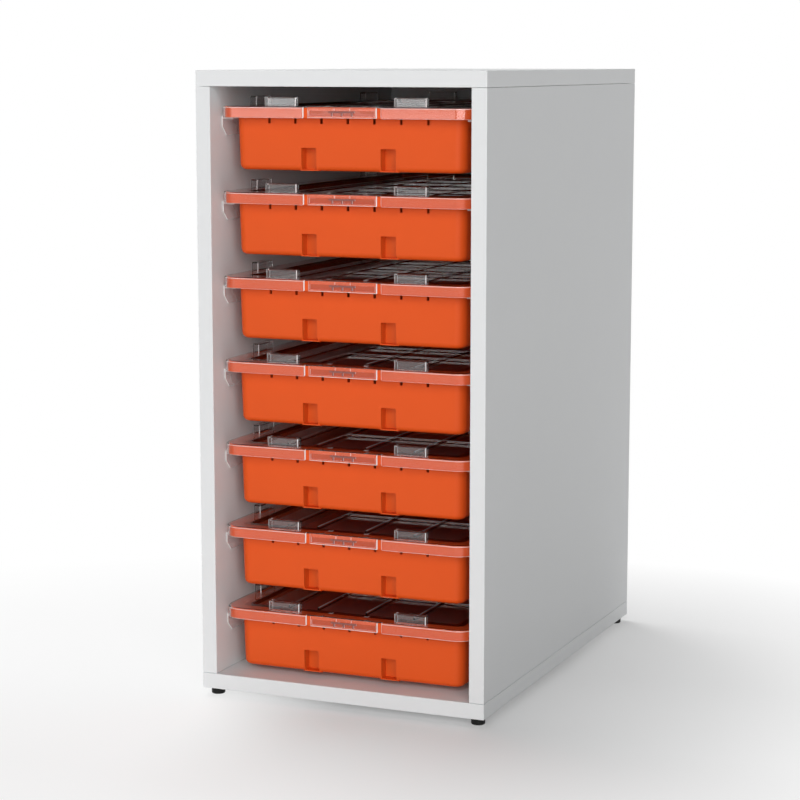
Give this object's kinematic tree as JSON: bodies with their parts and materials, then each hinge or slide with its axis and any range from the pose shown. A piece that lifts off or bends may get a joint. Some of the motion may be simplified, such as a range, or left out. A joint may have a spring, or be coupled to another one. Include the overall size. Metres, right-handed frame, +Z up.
{
  "type": "classroom tray storage unit",
  "caption": "Open-fronted white board cabinet on glides, with a column of orange moulded trays that slide on clear side runners, each under a clear clip-on lid.",
  "frame": {"origin": "on the floor under the middle of the unit", "axes": "+Z up, +X to the right seen from the front, +Y to the back, so the open front faces -Y"},
  "size_m": [0.352, 0.535, 0.726],
  "materials": {
    "white_board": "white melamine-faced board, fine satin",
    "orange_plastic": "moulded polypropylene, satin",
    "clear_plastic": "clear moulded, glossy",
    "runner_plastic": "clear moulded, glossy",
    "black_plastic": "moulded, matt",
    "dowel_wood": "bare beech"
  },
  "bodies": {
    "carcass": {"top_panel": "white_board", "bottom_panel": "white_board", "left_side_panel": "white_board", "right_side_panel": "white_board", "back_panel": "white_board", "foot_front_left": "black_plastic", "foot_front_right": "black_plastic", "foot_rear_left": "black_plastic", "foot_rear_right": "black_plastic", "dowel_top_front_left": "dowel_wood", "dowel_top_front_right": "dowel_wood", "dowel_top_rear_left": "dowel_wood", "dowel_top_rear_right": "dowel_wood", "dowel_bottom_front_left": "dowel_wood", "dowel_bottom_front_right": "dowel_wood", "dowel_bottom_rear_left": "dowel_wood", "dowel_bottom_rear_right": "dowel_wood", "left_runner_1": "runner_plastic", "right_runner_1": "runner_plastic", "left_runner_2": "runner_plastic", "right_runner_2": "runner_plastic", "left_runner_3": "runner_plastic", "right_runner_3": "runner_plastic", "left_runner_4": "runner_plastic", "right_runner_4": "runner_plastic", "left_runner_5": "runner_plastic", "right_runner_5": "runner_plastic", "left_runner_6": "runner_plastic", "right_runner_6": "runner_plastic", "left_runner_7": "runner_plastic", "right_runner_7": "runner_plastic"},
    "tray_1": {"tray_1": "orange_plastic"},
    "lid_1": {"lid_1": "clear_plastic"},
    "clip_1": {"lid_clip_1": "clear_plastic"},
    "tray_2": {"tray_2": "orange_plastic"},
    "lid_2": {"lid_2": "clear_plastic"},
    "clip_2": {"lid_clip_2": "clear_plastic"},
    "tray_3": {"tray_3": "orange_plastic"},
    "lid_3": {"lid_3": "clear_plastic"},
    "clip_3": {"lid_clip_3": "clear_plastic"},
    "tray_4": {"tray_4": "orange_plastic"},
    "lid_4": {"lid_4": "clear_plastic"},
    "clip_4": {"lid_clip_4": "clear_plastic"},
    "tray_5": {"tray_5": "orange_plastic"},
    "lid_5": {"lid_5": "clear_plastic"},
    "clip_5": {"lid_clip_5": "clear_plastic"},
    "tray_6": {"tray_6": "orange_plastic"},
    "lid_6": {"lid_6": "clear_plastic"},
    "clip_6": {"lid_clip_6": "clear_plastic"},
    "tray_7": {"tray_7": "orange_plastic"},
    "lid_7": {"lid_7": "clear_plastic"},
    "clip_7": {"lid_clip_7": "clear_plastic"}
  },
  "joints": [
    {"name": "tray_slide_1", "type": "slide", "parent": "carcass", "child": "tray_1", "axis": [0, -1, 0], "range_m": [0, 0.4]},
    {"name": "lid_lift_1", "type": "slide", "parent": "tray_1", "child": "lid_1", "axis": [0, 0, 1], "range_m": [0, 0.01]},
    {"name": "clip_swing_1", "type": "hinge", "parent": "lid_1", "child": "clip_1", "pos_m": [0, -0.256, 0.6844], "axis": [-1, 0, 0], "range_deg": [0, 40], "stiffness_Nm_per_rad": 0.02},
    {"name": "tray_slide_2", "type": "slide", "parent": "carcass", "child": "tray_2", "axis": [0, -1, 0], "range_m": [0, 0.4]},
    {"name": "lid_lift_2", "type": "slide", "parent": "tray_2", "child": "lid_2", "axis": [0, 0, 1], "range_m": [0, 0.01]},
    {"name": "clip_swing_2", "type": "hinge", "parent": "lid_2", "child": "clip_2", "pos_m": [0, -0.256, 0.5877], "axis": [-1, 0, 0], "range_deg": [0, 40], "stiffness_Nm_per_rad": 0.02},
    {"name": "tray_slide_3", "type": "slide", "parent": "carcass", "child": "tray_3", "axis": [0, -1, 0], "range_m": [0, 0.4]},
    {"name": "lid_lift_3", "type": "slide", "parent": "tray_3", "child": "lid_3", "axis": [0, 0, 1], "range_m": [0, 0.01]},
    {"name": "clip_swing_3", "type": "hinge", "parent": "lid_3", "child": "clip_3", "pos_m": [0, -0.256, 0.491], "axis": [-1, 0, 0], "range_deg": [0, 40], "stiffness_Nm_per_rad": 0.02},
    {"name": "tray_slide_4", "type": "slide", "parent": "carcass", "child": "tray_4", "axis": [0, -1, 0], "range_m": [0, 0.4]},
    {"name": "lid_lift_4", "type": "slide", "parent": "tray_4", "child": "lid_4", "axis": [0, 0, 1], "range_m": [0, 0.01]},
    {"name": "clip_swing_4", "type": "hinge", "parent": "lid_4", "child": "clip_4", "pos_m": [0, -0.256, 0.3943], "axis": [-1, 0, 0], "range_deg": [0, 40], "stiffness_Nm_per_rad": 0.02},
    {"name": "tray_slide_5", "type": "slide", "parent": "carcass", "child": "tray_5", "axis": [0, -1, 0], "range_m": [0, 0.4]},
    {"name": "lid_lift_5", "type": "slide", "parent": "tray_5", "child": "lid_5", "axis": [0, 0, 1], "range_m": [0, 0.01]},
    {"name": "clip_swing_5", "type": "hinge", "parent": "lid_5", "child": "clip_5", "pos_m": [0, -0.256, 0.2976], "axis": [-1, 0, 0], "range_deg": [0, 40], "stiffness_Nm_per_rad": 0.02},
    {"name": "tray_slide_6", "type": "slide", "parent": "carcass", "child": "tray_6", "axis": [0, -1, 0], "range_m": [0, 0.4]},
    {"name": "lid_lift_6", "type": "slide", "parent": "tray_6", "child": "lid_6", "axis": [0, 0, 1], "range_m": [0, 0.01]},
    {"name": "clip_swing_6", "type": "hinge", "parent": "lid_6", "child": "clip_6", "pos_m": [0, -0.256, 0.2009], "axis": [-1, 0, 0], "range_deg": [0, 40], "stiffness_Nm_per_rad": 0.02},
    {"name": "tray_slide_7", "type": "slide", "parent": "carcass", "child": "tray_7", "axis": [0, -1, 0], "range_m": [0, 0.4]},
    {"name": "lid_lift_7", "type": "slide", "parent": "tray_7", "child": "lid_7", "axis": [0, 0, 1], "range_m": [0, 0.01]},
    {"name": "clip_swing_7", "type": "hinge", "parent": "lid_7", "child": "clip_7", "pos_m": [0, -0.256, 0.1042], "axis": [-1, 0, 0], "range_deg": [0, 40], "stiffness_Nm_per_rad": 0.02}
  ]
}
